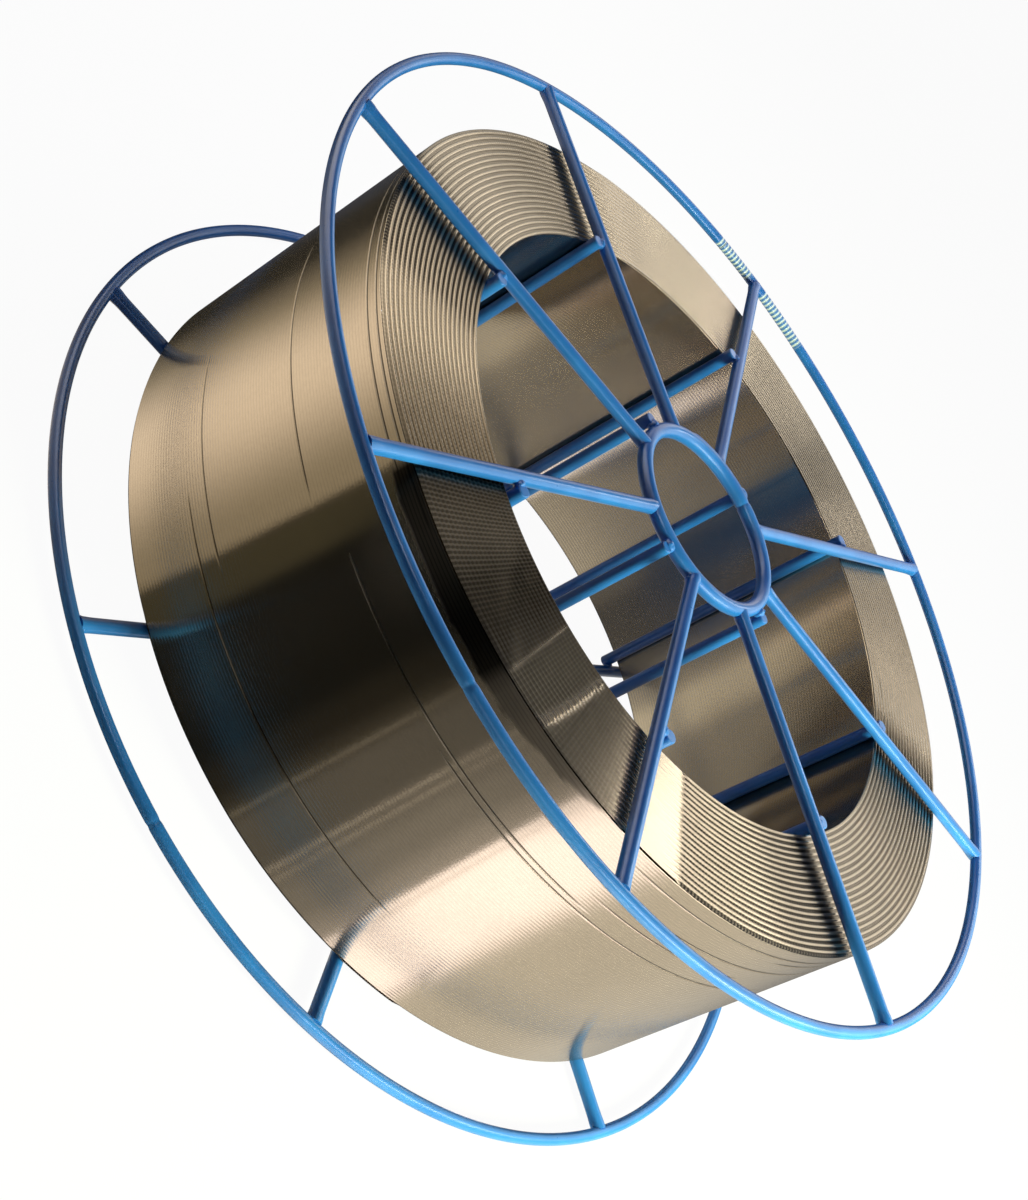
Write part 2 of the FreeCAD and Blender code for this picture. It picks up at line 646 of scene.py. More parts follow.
class MeshDraft:
    """Points and faces gathered in millimetres before they become one piece."""

    def __init__(self) -> None:
        """Start empty."""
        self.points: list[np.ndarray] = []
        self.faces: list[np.ndarray] = []
        self.marks: list[np.ndarray] = []
        self.count = 0

    def add_grid(self, grid: np.ndarray, close_rows: bool = False, close_columns: bool = False,
                 flip: bool = False, marks: Optional[np.ndarray] = None) -> None:
        """Add a sheet of quads.

        Args:
            grid: points as rows, columns and three coordinates.
            close_rows: join the last row to the first.
            close_columns: join the last column to the first.
            flip: turn the faces over.
            marks: how far each point is marked, with painted shade in a groove or with wear, from
                0 to 1.
        """
        rows, columns = grid.shape[:2]
        quads = grid_faces(rows, columns, close_rows, close_columns) + self.count
        self.faces.append(quads[:, ::-1] if flip else quads)
        self.points.append(grid.reshape(-1, 3))
        self.marks.append(np.zeros(rows * columns) if marks is None else marks.ravel())
        self.count += rows * columns

    def add_cap(self, ring: np.ndarray, centre: np.ndarray, flip: bool = False) -> None:
        """Close a ring of points to a centre point.

        Args:
            ring: points round the edge.
            centre: point in the middle.
            flip: turn the faces over.
        """
        self.add_grid(np.stack([ring, np.repeat(centre[None], len(ring), 0)]),
                      close_columns=True, flip=flip)

    def add_wire(self, path: np.ndarray, radii: np.ndarray, closed: bool = False,
                 sides: int = 20, marks: Optional[np.ndarray] = None) -> None:
        """Add a round wire along a path.

        Args:
            path: centreline points.
            radii: the wire's radius at each of them.
            closed: join the ends.
            sides: points round the section.
            marks: how far each path point is marked, from 0 to 1.
        """
        if closed:
            tangents = np.roll(path, -1, 0) - np.roll(path, 1, 0)
        else:
            tangents = np.gradient(path, axis=0)
        tangents /= np.linalg.norm(tangents, axis=1)[:, None]
        up = np.array([0.0, 0.0, 1.0])
        upright = abs(tangents[0] @ up) > 0.9
        if upright:
            up = np.array([path[0][0], path[0][1], 0.0])
            up /= np.linalg.norm(up)
        side = np.cross(tangents, up)
        side /= np.linalg.norm(side, axis=1)[:, None]
        top = np.cross(side, tangents)
        turn = np.linspace(0, 2 * math.pi, sides, endpoint=False)
        ring = (side[:, None] * np.cos(turn)[None, :, None]
                + top[:, None] * np.sin(turn)[None, :, None])
        grid = path[:, None] + ring * radii[:, None, None]
        spread = None if marks is None else np.repeat(marks[:, None], sides, 1)
        self.add_grid(grid, close_rows=closed, close_columns=True, marks=spread)
        if not closed:
            self.add_cap(grid[0], path[0], flip=True)
            self.add_cap(grid[-1], path[-1])

    def add_bead(self, centre: np.ndarray, size: Sequence[float], angle: float, seed: float,
                 lumps: float = 0.18, lump_pace: float = 1.7, rows: int = 9,
                 columns: int = 18) -> None:
        """Add a weld bead, a rounded lump with an uneven skin.

        Args:
            centre: middle of the bead.
            size: half sizes along the radius, round the axis and along the axis.
            angle: degrees round the axis that the bead is turned to.
            seed: which of the uneven shapes it takes.
            lumps: how uneven it is, as a share of its size.
            lump_pace: how many lumps there are in half of it.
            rows: rings of points between its poles.
            columns: points in a ring.
        """
        rise = np.linspace(-math.pi / 2, math.pi / 2, rows + 2)[1:-1]
        turn = np.linspace(0, 2 * math.pi, columns, endpoint=False)
        ball = np.stack([np.cos(rise)[:, None] * np.cos(turn),
                         np.cos(rise)[:, None] * np.sin(turn),
                         np.repeat(np.sin(rise)[:, None], len(turn), 1)], -1)
        poles = np.array([[0.0, 0.0, -1.0], [0.0, 0.0, 1.0]])
        spin = math.radians(angle)
        axes = np.array([[math.cos(spin), math.sin(spin), 0],
                         [-math.sin(spin), math.cos(spin), 0], [0, 0, 1]])

        def swell(points: np.ndarray) -> np.ndarray:
            """Move points of a ball out to the bead's uneven skin.

            Args:
                points: rows of points, or one row of them.

            Returns:
                The moved points.
            """
            flat = points.reshape(-1, 3)
            factor = [1 + lumps * noise.noise(Vector(point * lump_pace + seed))
                      for point in flat]
            moved = (flat * np.array(factor)[:, None] * np.array(size)) @ axes + centre
            return moved.reshape(points.shape)

        skin, tips = swell(ball), swell(poles)
        self.add_grid(skin, close_columns=True)
        self.add_cap(skin[0], tips[0], flip=True)
        self.add_cap(skin[-1], tips[1])

    def make(self, name: str, finish: bpy.types.Material, slot: str,
             nodes: Sequence[str], mark: str = "wear") -> bpy.types.Object:
        """Turn the draft into a piece of the spool.

        Args:
            name: the piece's name.
            finish: its material.
            slot: the record's material slot; not used.
            nodes: the nodes that it stands for.
            mark: name under which the finish finds the marks.

        Returns:
            The new object.
        """
        mesh = bpy.data.meshes.new(name)
        points = np.concatenate(self.points) * MM
        faces = np.concatenate(self.faces)
        mesh.from_pydata(points.tolist(), [], faces.tolist())
        mesh.polygons.foreach_set("use_smooth", np.ones(len(mesh.polygons), dtype=bool))
        layer = mesh.attributes.new(mark, "FLOAT", "POINT")
        layer.data.foreach_set("value", np.concatenate(self.marks).astype(np.float32))
        mesh.materials.append(finish)
        mesh.update()
        piece = add_object(name, mesh)
        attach(piece, "root")
        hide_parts(*nodes)
        return piece


# Basket

@dataclass
class Flange:
    """Rim ring, hub ring and spokes of one end, welded and coated as one frame.

    Lengths are in millimetres; the seam's reach, the rubbed stretches and the lap in degrees.
    A bead has three half sizes, and the joint seeds make its three kinds differ.
    """

    size: SpoolSize
    end: End
    seam_angle: float
    rubbed: Sequence[Span] = ()
    rub_pitch: float = 0.62
    rub_depth: float = 0.05
    rim_steps: int = 288
    hub_steps: int = 96
    seam_reach: float = 0.8
    seam_width: float = 0.6
    seam_pinch: float = 0.09
    ring_ripple: float = 0.004
    ring_pace: float = 0.11
    spoke_inset: float = 0.8
    spoke_end: float = 0.06
    spoke_ripple: float = 0.006
    spoke_pace: float = 0.35
    weld_reach: float = 2.6
    weld_swell: float = 0.11
    skin: float = 0.994
    lap: Span = (219.0, 277.0)
    lap_wire: float = 2.3
    lap_offset: float = 0.25
    lap_taper: float = 5.0
    lap_tip: float = 0.35
    lap_full: float = 0.97
    lap_ripple: float = 0.05
    lap_pace: float = 0.6
    hub_bead: Sequence[float] = (1.5, 2.3, 1.75)
    hub_bead_out: float = 0.2
    hub_bead_in: float = 0.3
    rim_bead: Sequence[float] = (1.3, 2.35, 1.7)
    rim_bead_in: float = 0.1
    bar_bead: Sequence[float] = (1.7, 1.3, 1.5)
    hub_bar_bead: Sequence[float] = (1.5, 2.0, 1.8)
    hub_bar_bead_out: float = 0.1
    spoke_seed: float = 11.3
    end_seed: float = 5.1
    joint_seeds: Sequence[float] = (0.0, 3.7, 7.9)
    first_hub_bar_seed: float = 31.0
    hub_bar_seed: float = 2.3

    @classmethod
    def front(cls, size: SpoolSize) -> "Flange":
        """Front flange, its rim notched in two stretches where the coat is rubbed off."""
        return cls(size, End.FRONT, 45.0, ((237.0, 246.0), (248.8, 256.0)))

    @classmethod
    def rear(cls, size: SpoolSize) -> "Flange":
        """Rear flange, its rim whole."""
        return cls(size, End.REAR, 42.7)

    def ring(self, draft: MeshDraft, radius: float, height: float, wire: float,
             steps: int, seam: float, rubs: Sequence[Span] = ()) -> None:
        """Add a ring bent from wire, a little uneven, pinched at its butt weld.

        Args:
            draft: where it goes.
            radius: the centreline's radius.
            height: the centreline's height.
            wire: the wire's diameter.
            steps: points round the ring.
            seam: angle of the butt weld in degrees.
            rubs: stretches in degrees where a clamp has notched the coat.
        """
        rubbed = [np.arange(start, stop, self.rub_pitch / 4) for start, stop in rubs]
        near_seam = seam + np.linspace(-self.seam_reach, self.seam_reach, 9)
        angles = np.unique(np.concatenate(
            [np.linspace(0, 360, steps, endpoint=False), near_seam] + rubbed))
        path = np.array([polar(radius, angle, height) for angle in angles])
        pinch = self.seam_pinch * hill(np.radians(short_way(angles, seam)) * radius,
                                       self.seam_width)
        uneven = self.ring_ripple * np.abs(wander(path, self.ring_pace))
        worn = np.zeros(len(angles))
        for start, stop in rubs:
            worn += (angles > start) & (angles < stop)
        notch = worn * (0.5 + 0.5 * np.sin(2 * math.pi * angles / self.rub_pitch))
        radii = wire / 2 * self.skin * (1 - pinch - uneven - self.rub_depth * notch)
        draft.add_wire(path, radii, closed=True, marks=notch ** 2)

    def spoke(self, draft: MeshDraft, index: int) -> None:
        """Add a spoke with its upset ends and weld beads.

        Args:
            draft: where it goes.
            index: which spoke.
        """
        size = self.size
        angle = size.spoke_angle(index)
        hub_height, rim_height = size.hub_height(self.end), size.rim_height(self.end)
        start = polar(size.hub_radius + self.spoke_inset, angle, hub_height)
        stop = polar(size.rim_radius - self.spoke_inset, angle, rim_height)
        share = np.concatenate([np.linspace(0, self.spoke_end, 8)[:-1],
                                np.linspace(self.spoke_end, 1 - self.spoke_end, 24),
                                np.linspace(1 - self.spoke_end, 1, 8)[1:]])
        path = start + (stop - start) * share[:, None]
        length = np.linalg.norm(stop - start)
        swell = (hill(share * length, self.weld_reach)
                 + hill((1 - share) * length, self.weld_reach))
        drift = wander(path, self.spoke_pace)
        radii = size.spoke_wire / 2 * (1 + self.weld_swell * swell * (1 + drift)
                                       + self.spoke_ripple * drift)
        draft.add_wire(path, np.minimum(radii, size.hub_wire / 2 * self.skin))
        hub_joint = polar(size.hub_radius + size.hub_wire / 2 + self.hub_bead_out, angle,
                          hub_height - self.end.value * self.hub_bead_in)
        rim_joint = polar(size.rim_radius - size.rim_wire / 2 - self.rim_bead_in, angle,
                          rim_height)
        bar_joint = polar(size.barrel_radius, angle + size.barrel_bar_lead / 2,
                          self.spoke_height(size.barrel_radius))
        seed = self.spoke_seed * index + self.end_seed * self.end.value
        for joint, bead, shape in zip((hub_joint, rim_joint, bar_joint),
                                      (self.hub_bead, self.rim_bead, self.bar_bead),
                                      self.joint_seeds):
            draft.add_bead(joint, bead, angle, seed + shape)

    def lap_joint(self, draft: MeshDraft) -> None:
        """Add the overlapping end of the hub wire, laid along the outside of its ring.

        Args:
            draft: where it goes.
        """
        size = self.size
        angles = np.linspace(*self.lap, 64)
        step = (size.hub_wire - self.lap_wire) / 2
        radius = size.hub_radius + step + self.lap_offset
        height = size.hub_height(self.end) + self.end.value * (step - self.lap_offset)
        path = np.array([polar(radius, angle, height) for angle in angles])
        to_end = np.minimum(angles - self.lap[0], self.lap[1] - angles)
        taper = np.sqrt(ramp(to_end, self.lap_taper))
        share = self.lap_tip + (self.lap_full - self.lap_tip) * taper
        uneven = self.lap_ripple * np.abs(wander(path, self.lap_pace))
        draft.add_wire(path, self.lap_wire / 2 * (share - uneven))

    def spoke_height(self, radius: float) -> float:
        """Find the height of the spokes' centreline.

        Args:
            radius: distance from the axis.

        Returns:
            The height at that radius.
        """
        size = self.size
        share = (radius - size.hub_radius) / (size.rim_radius - size.hub_radius)
        return size.hub_height(self.end) * (1 - share) + size.rim_height(self.end) * share

    def build(self, coat: bpy.types.Material) -> bpy.types.Object:
        """Make the flange as one piece.

        Args:
            coat: the powder coating.

        Returns:
            The flange.
        """
        draft = MeshDraft()
        size = self.size
        self.ring(draft, size.rim_radius, size.rim_height(self.end), size.rim_wire,
                  self.rim_steps, self.seam_angle, self.rubbed)
        self.ring(draft, size.hub_radius, size.hub_height(self.end), size.hub_wire,
                  self.hub_steps, self.lap[0])
        self.lap_joint(draft)
        for index in range(size.spoke_count):
            self.spoke(draft, index)
        for index in range(size.hub_bar_count):
            angle = size.hub_bar_angle(index)
            joint = polar(size.hub_radius + size.hub_wire / 2 + self.hub_bar_bead_out, angle,
                          size.hub_height(self.end))
            draft.add_bead(joint, self.hub_bar_bead, angle,
                           self.first_hub_bar_seed + index * self.hub_bar_seed)
        return draft.make(f"coated_{self.end.node}", coat, "basket_coating", [self.end.node])


@dataclass
class UprightBars:
    """Set of straight bars that join the two flanges, in millimetres and degrees."""

    node_stem: str
    radius: float
    wire: float
    length: float
    angles: Sequence[float]
    middle: float
    steps: int = 36
    edge: float = 0.35
    edge_steps: int = 5
    shortfall: float = 0.02
    skin: float = 0.995
    ripple: float = 0.012
    pace: float = 0.3

    @classmethod
    def barrel(cls, size: SpoolSize) -> "UprightBars":
        """Stand the bars inside the coil's bore, one beside each spoke.

        Args:
            size: the spool's sizes.

        Returns:
            The set of bars.
        """
        angles = [size.spoke_angle(index) + size.barrel_bar_lead
                  for index in range(size.spoke_count)]
        return cls("barrel_bar", size.barrel_radius, size.barrel_bar_wire,
                   size.barrel_bar_length, angles, size.middle)

    @classmethod
    def hub(cls, size: SpoolSize) -> "UprightBars":
        """Stand the bars round the outside of the hub rings.

        Args:
            size: the spool's sizes.

        Returns:
            The set of bars.
        """
        angles = [size.hub_bar_angle(index) for index in range(size.hub_bar_count)]
        return cls("hub_bar", size.hub_bar_radius, size.hub_bar_wire,
                   size.hub_bar_length, angles, size.middle)

    def build(self, coat: bpy.types.Material) -> list[bpy.types.Object]:
        """Make each bar, its sheared ends slightly rounded.

        Args:
            coat: the powder coating.

        Returns:
            The bars.
        """
        half = self.length / 2 - self.shortfall
        straight = half - self.edge
        rounded = [half - self.edge * (1 - math.sin(turn))
                   for turn in np.linspace(0, math.pi / 2, self.edge_steps)[1:]]
        rises = np.concatenate([[-rise for rise in reversed(rounded)],
                                np.linspace(-straight, straight, self.steps), rounded])
        into = ramp(np.abs(rises) - straight, self.edge)
        trim = self.edge * (1 - np.sqrt(1 - into ** 2))
        pieces = []
        for index, angle in enumerate(self.angles):
            path = np.array([polar(self.radius, angle, self.middle + rise) for rise in rises])
            uneven = self.ripple * np.abs(wander(path, self.pace))
            draft = MeshDraft()
            draft.add_wire(path, self.wire / 2 * (self.skin - uneven) - trim)
            node = f"{self.node_stem}_{index + 1}"
            pieces.append(draft.make(f"coated_{node}", coat, "basket_coating", [node]))
        return pieces


# Coil

@dataclass(frozen=True)
class FlushStretch:
    """Stretch of a coil's end where its layers are packed almost flush, in degrees."""

    centre: float
    reach: float
    soft: float
    left: float


@dataclass(frozen=True)
class HairlineGap:
    """Gap between two turns, at a distance from the coil's middle and between two angles."""

    place: float
    start: float
    stop: float


@dataclass(frozen=True)
class Crossing:
    """Places on the coil's ends where a wire climbs over the layers, in degrees and mm."""

    tie_angle: float = 46.2
    tie_width: float = 0.28
    tie_rise: float = 0.1
    rope_angle: float = 56.0
    rope_slant: float = 3.6
    rope_width: float = 0.7
    rope_rise: float = 0.2
    rope_lay: float = 0.07
    rope_twist: float = 190.0

    def rise(self, angles: np.ndarray, share: np.ndarray) -> np.ndarray:
        """Rise where a wire climbs over the ridges to the next layer.

        Args:
            angles: degrees, one for each column.
            share: place of each row between the bore and the outside.

        Returns:
            Rises in millimetres, rows by columns.
        """
        tie = hill(angles[None] - self.tie_angle, self.tie_width) * self.tie_rise
        slant = angles[None] - self.rope_angle + self.rope_slant * share[:, None]
        lay = self.rope_rise + self.rope_lay * np.sin(share[:, None] * self.rope_twist)
        return tie + hill(slant, self.rope_width) * lay


@dataclass(frozen=True)
class PaintedCoilShade:
    """Painted shade over one side of the coil, in degrees and millimetres, as marks from 0 to 1.

    On the end it lightens from one angle on, and a lighter painted shade dims a second stretch of
    the end. On the wall it covers the turns beside the front end, up to a ragged edge that slopes
    away, and fades towards the middle of the coil.
    """

    end_span: Span = (21.0, 66.0)
    end_dark: float = 0.87
    end_lightened: float = 0.43
    lightens_from: float = 36.0
    lightens_over: float = 8.0
    dim_span: Span = (77.0, 104.0)
    dim_dark: float = 0.28
    dim_soft: float = 3.0
    soft: float = 1.5
    wall_span: Span = (21.0, 65.0)
    edge_place: float = 38.3
    edge_ragged: float = 1.6
    edge_pace: float = 1.7
    edge_slope: float = 0.38
    slope_from: float = 50.0
    slope_over: float = 20.0
    edge_soft: float = 0.8
    edge_dark: float = 0.68
    shade_from: float = 12.0
    shade_over: float = 26.0
    shade_dark: float = 0.27
    fades_from: float = 45.0
    fades_over: float = 2.0
    faded: float = 0.35

    def on_end(self, angles: np.ndarray) -> np.ndarray:
        """Paint shade on the coil's end.

        Args:
            angles: degrees, one for each column.

        Returns:
            Marks, one for each column.
        """
        lightened = self.end_lightened * ramp(angles - self.lightens_from, self.lightens_over)
        dark = band(angles, self.end_span, self.soft) * (self.end_dark - lightened)
        # a second, lighter painted shade over the dim span
        return dark + self.dim_dark * band(angles, self.dim_span, self.dim_soft)

    def on_wall(self, rise: np.ndarray, angles: np.ndarray) -> np.ndarray:
        """Paint shade on the last turns beside the front end.

        Args:
            rise: distance of each row from the coil's middle.
            angles: degrees, one for each column.

        Returns:
            Marks, rows by columns.
        """
        ragged = np.array([noise.noise(Vector((angle * self.edge_pace, 4.0, 0.0)))
                           for angle in angles])
        edge = (self.edge_place + self.edge_ragged * ragged
                + self.edge_slope * np.clip(angles - self.slope_from, 0, self.slope_over))
        across = (self.edge_dark * ramp(rise - edge[None], self.edge_soft)
                  + self.shade_dark * ramp(rise - self.shade_from, self.shade_over))
        fade = 1 - self.faded * ramp(angles - self.fades_from, self.fades_over)
        return band(angles, self.wall_span, self.soft)[None] * across * fade[None]


@dataclass
class WireCoil:
    """Layer-wound wire: nested turns that show as ridges on the ends and lines outside.

    Lengths are in millimetres and angles in degrees. A fine stretch is a start, a stop and the
    step between its columns.
    """

    size: SpoolSize
    wire: float = 1.0
    layers: int = 40
    end_columns: int = 270
    outer_columns: int = 240
    bore_columns: int = 180
    rows_per_turn: int = 4
    turn_relief: float = 0.045
    bore_relief: float = 0.02
    valley_top: float = 1.3
    valley_slope: float = 3.2
    valley_mark: float = 0.1
    wobble_depth: float = 0.14
    wobble_pace: float = 3.0
    wobble_step: float = 0.9
    radial_wobble: float = 0.9
    crossover_angle: float = 31.0
    crossover_slant: float = 16.0
    crossover_width: float = 1.6
    crossover_kink: float = 0.45
    edge_slope: float = 12.0
    flush_depth: float = 0.25
    end_shortfall: float = 0.01
    groove_from: float = 0.09
    groove_over: float = 0.22
    crest_mark: float = 0.16
    unshaded_rise: float = 0.125
    crossing: Crossing = Crossing()
    # painted shade on one side of the coil's ends and wall
    oil: PaintedCoilShade = PaintedCoilShade()
    gap_width: float = 0.32
    gap_depth: float = 0.3
    gap_end: float = 3.0
    gap_black: float = 0.25
    fine_stretches: Sequence[tuple[float, float, float]] = (
        (45.4, 47.0, 0.14), (50.4, 58.0, 0.35), (66.0, 77.5, 0.8))
    flush: Sequence[FlushStretch] = (
        FlushStretch(226.0, 56.0, 9.0, 0.14), FlushStretch(71.8, 4.4, 0.8, 0.06),
        FlushStretch(44.5, 21.0, 2.0, 0.42), FlushStretch(311.0, 20.0, 3.0, 0.7),
        FlushStretch(8.0, 11.0, 5.0, 0.7), FlushStretch(133.0, 20.0, 4.0, 0.8))
    gaps: Sequence[HairlineGap] = (
        HairlineGap(-17.5, -8, 22), HairlineGap(-23.5, 10, 64), HairlineGap(20.5, 27, 75),
        HairlineGap(18.5, 50, 110), HairlineGap(25.5, 74, 100), HairlineGap(31.5, 60, 118),
        HairlineGap(14.5, -20, 20), HairlineGap(40.5, -60, 24), HairlineGap(43.5, -50, 30),
        HairlineGap(40.5, 72, 130), HairlineGap(37.5, 100, 190), HairlineGap(-12.5, 150, 240),
        HairlineGap(6.5, 200, 262), HairlineGap(33.5, 215, 300), HairlineGap(-30.5, 262, 318))

    @property
    def depth(self) -> float:
        """Depth of the winding from the bore to the outside."""
        return (self.size.coil_diameter - self.size.coil_bore) / 2

    @property
    def pitch(self) -> float:
        """Radial step from one layer to the next."""
        return (self.depth - self.wire) / (self.layers - 1)

    def layer_radius(self, layer: int) -> float:
        """Radius of a layer's wire centre."""
        return self.size.coil_bore / 2 + self.wire / 2 + layer * self.pitch

    def layer_reach(self, layer: int) -> float:
        """Distance of a layer's last turn from the middle, less in every other layer."""
        return self.size.coil_width / 2 - self.wire / 2 * (1 + layer % 2)

    def ridge_profile(self) -> np.ndarray:
        """Section through one end, from the bore outwards.

        Returns:
            Rows of radius, distance from the coil's middle, and layer number.
        """
        rows = []
        nest = math.degrees(math.asin(self.wire / 2))
        for layer in range(self.layers):
            proud = layer % 2 == 0
            innermost, outermost = layer == 0, layer == self.layers - 1
            tuck = -nest if proud else nest
            first = 180 if innermost else 180 - tuck
            last = 0 if outermost else tuck
            turns = np.radians(np.linspace(first, last, 7 if proud else 4))
            for turn in turns[0 if innermost else 1:]:
                rows.append((self.layer_radius(layer) + self.wire / 2 * math.cos(turn),
                             self.layer_reach(layer) + self.wire / 2 * math.sin(turn), layer))
        return np.array(rows)

    def wobble(self, layers: np.ndarray, angles: np.ndarray) -> np.ndarray:
        """Slow wander of each layer's last turn along the axis.

        Args:
            layers: layer numbers, one for each row.
            angles: degrees, one for each column.

        Returns:
            Offsets in millimetres, rows by columns, never outwards.
        """
        turns = np.radians(angles)
        drift = {}
        for layer in sorted(set(layers)):
            drift[layer] = np.array([
                noise.noise(Vector((self.wobble_pace * math.cos(turn),
                                    self.wobble_pace * math.sin(turn),
                                    self.wobble_step * layer)))
                for turn in turns])
        return -self.wobble_depth * np.array([np.abs(drift[layer]) for layer in layers])

    def ridge_share(self, angles: np.ndarray) -> np.ndarray:
        """Share of the full ridge height, less where the layers are packed flush.

        Args:
            angles: degrees, one for each column.

        Returns:
            Shares, one for each column.
        """
        share = np.ones(len(angles))
        for stretch in self.flush:
            away = np.abs(short_way(angles, stretch.centre))
            inside = 1 - ramp(away - stretch.reach, stretch.soft)
            share *= 1 - (1 - stretch.left) * inside
        return share

    def end_face(self, end: End) -> MeshDraft:
        """Ridged end of the coil.

        Args:
            end: which end.

        Returns:
            The draft of its surface.
        """
        radii, reaches, layers = self.ridge_profile().T
        fine = [np.arange(*stretch) for stretch in self.fine_stretches]
        angles = np.unique(np.concatenate(
            [np.linspace(0, 360, self.end_columns, endpoint=False)] + fine))
        turns = np.radians(angles)
        share = (radii - self.size.coil_bore / 2) / self.depth
        inside = np.clip(np.minimum(share, 1 - share) * self.edge_slope, 0, 1)[:, None]
        crossover = self.crossover_angle + self.crossover_slant * share
        kink = hill(short_way(angles[None], crossover[:, None]), self.crossover_width)
        pair_wobble = self.radial_wobble * self.wobble(layers - layers % 2, angles * 2.0)
        radius = radii[:, None] + inside * (self.crossover_kink * self.pitch * kink + pair_wobble)
        half = self.size.coil_width / 2
        flush = half - self.flush_depth
        ridges = self.ridge_share(angles)[None]
        climb = self.crossing.rise(angles, share)
        rise = reaches[:, None] + self.wobble(layers, angles) * inside
        rise = flush + (rise - flush) * ridges + climb * inside
        rise = np.minimum(rise, half - self.end_shortfall)
        grid = np.stack([radius * np.cos(turns), radius * np.sin(turns),
                         self.size.middle + end.value * rise], -1)
        # painted shade: the low parts between the ridges are marked dark and the crests a little,
        # with the painted shade of one side added; where a wire climbs over the layers it stays
        # unshaded
        low = ramp(half - self.groove_from - reaches, self.groove_over)[:, None]
        grooves = (self.crest_mark + (1 - self.crest_mark) * low) * ridges ** 2
        unshaded = 1 - ramp(climb, self.unshaded_rise)
        draft = MeshDraft()
        draft.add_grid(grid, close_columns=True, flip=end is End.FRONT,
                       marks=np.maximum(grooves, self.oil.on_end(angles)[None]) * unshaded)
        return draft

    def wall(self, outer: bool) -> MeshDraft:
        """Turns of the outermost or innermost layer.

        Args:
            outer: the outside of the coil, or else its bore.

        Returns:
            The draft of its surface.
        """
        layer = self.layers - 1 if outer else 0
        reach = self.layer_reach(layer)
        count = int(round(2 * reach / self.wire)) + 1
        columns = self.outer_columns if outer else self.bore_columns
        angles = np.linspace(0, 360, columns, endpoint=False)
        turns = np.radians(angles)
        steps = np.arange(-0.5, 0.5, 1 / self.rows_per_turn)
        places = (np.arange(count)[:, None] + steps).ravel()
        places = np.append(places[places >= 0], count - 0.5)
        places = np.clip(places, 0, count - 1)
        rise = (-reach + places * (2 * reach / (count - 1)))[:, None]
        valley = np.clip(self.valley_top - self.valley_slope * np.abs((places % 1) - 0.5),
                         0, 1)[:, None]
        relief = self.turn_relief if outer else self.bore_relief
        dip = relief * np.abs(2 * ((places + 0.5) % 1) - 1)[:, None] ** 2
        gap = self.gap_sink(rise, angles) * valley if outer else np.zeros((1, 1))
        radial = self.wire / 2 - (dip + gap)
        radius = self.layer_radius(layer) + (radial if outer else -radial)
        grid = np.stack(np.broadcast_arrays(
            radius * np.cos(turns), radius * np.sin(turns), self.size.middle + rise), -1)
        # painted shade: the valleys between turns and the hairline gaps are marked dark, and on
        # the outside the painted shade of one side is added
        dark = self.oil.on_wall(rise, angles) if outer else np.zeros((1, columns))
        grooves = self.valley_mark * (valley > 0.9) + gap / self.gap_black
        draft = MeshDraft()
        draft.add_grid(grid, close_columns=True, flip=not outer,
                       marks=np.clip(grooves + dark, 0, 1))
        return draft

    def gap_sink(self, rise: np.ndarray, angles: np.ndarray) -> np.ndarray:
        """Extra depth between turns where the winding left a hairline gap.

        Args:
            rise: distance of each row from the coil's middle.
            angles: degrees, one for each column.

        Returns:
            Depths in millimetres, rows by columns.
        """
        depth = np.zeros((len(rise), len(angles)))
        for gap in self.gaps:
            near = hill(rise - gap.place, self.gap_width)
            away = np.abs(short_way(angles[None], (gap.start + gap.stop) / 2))
            along = ramp((gap.stop - gap.start) / 2 - away, self.gap_end)
            depth += self.gap_depth * near * along
        return np.minimum(depth, self.gap_depth)

    def build(self, wall_finish: bpy.types.Material,
              end_finish: bpy.types.Material) -> list[bpy.types.Object]:
        """Make the coil's four surfaces.

        Args:
            wall_finish: wire seen along its length.
            end_finish: wire seen on the ridged ends.

        Returns:
            The pieces.
        """
        drafts = {
            "coil_outer_turns": (self.wall(True), wall_finish),
            "coil_bore_turns": (self.wall(False), wall_finish),
            "coil_front_ridges": (self.end_face(End.FRONT), end_finish),
            "coil_rear_ridges": (self.end_face(End.REAR), end_finish),
        }
        return [draft.make(name, finish, "coil_wire", ["wire_coil"], "groove_shade")
                for name, (draft, finish) in drafts.items()]


# Studio

